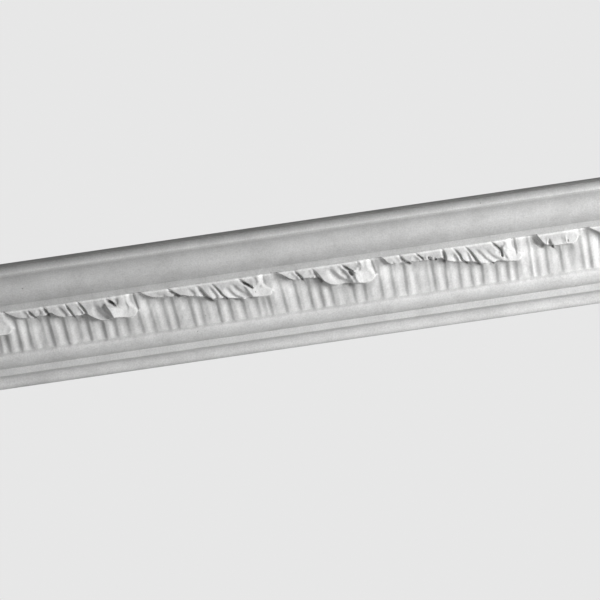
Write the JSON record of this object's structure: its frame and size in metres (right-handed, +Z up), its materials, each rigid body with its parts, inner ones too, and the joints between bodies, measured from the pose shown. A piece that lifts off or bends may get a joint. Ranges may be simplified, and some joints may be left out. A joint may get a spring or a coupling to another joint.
{
  "type": "cornice moulding section",
  "caption": "Length of cast plaster cornice with a cyma top, a band of carved leaves over reeds and small lower mouldings, cut square at both ends.",
  "frame": {"origin": "middle of the flat face that is bedded on the wall", "axes": "+X along the moulding, +Y into the wall, so the carved face looks towards -Y, +Z up towards the ceiling"},
  "size_m": [0.64, 0.065, 0.127],
  "materials": {
    "plaster": "matte cast plaster, unpainted"
  },
  "bodies": {
    "root": {"cornice_moulding": "plaster"}
  },
  "joints": []
}
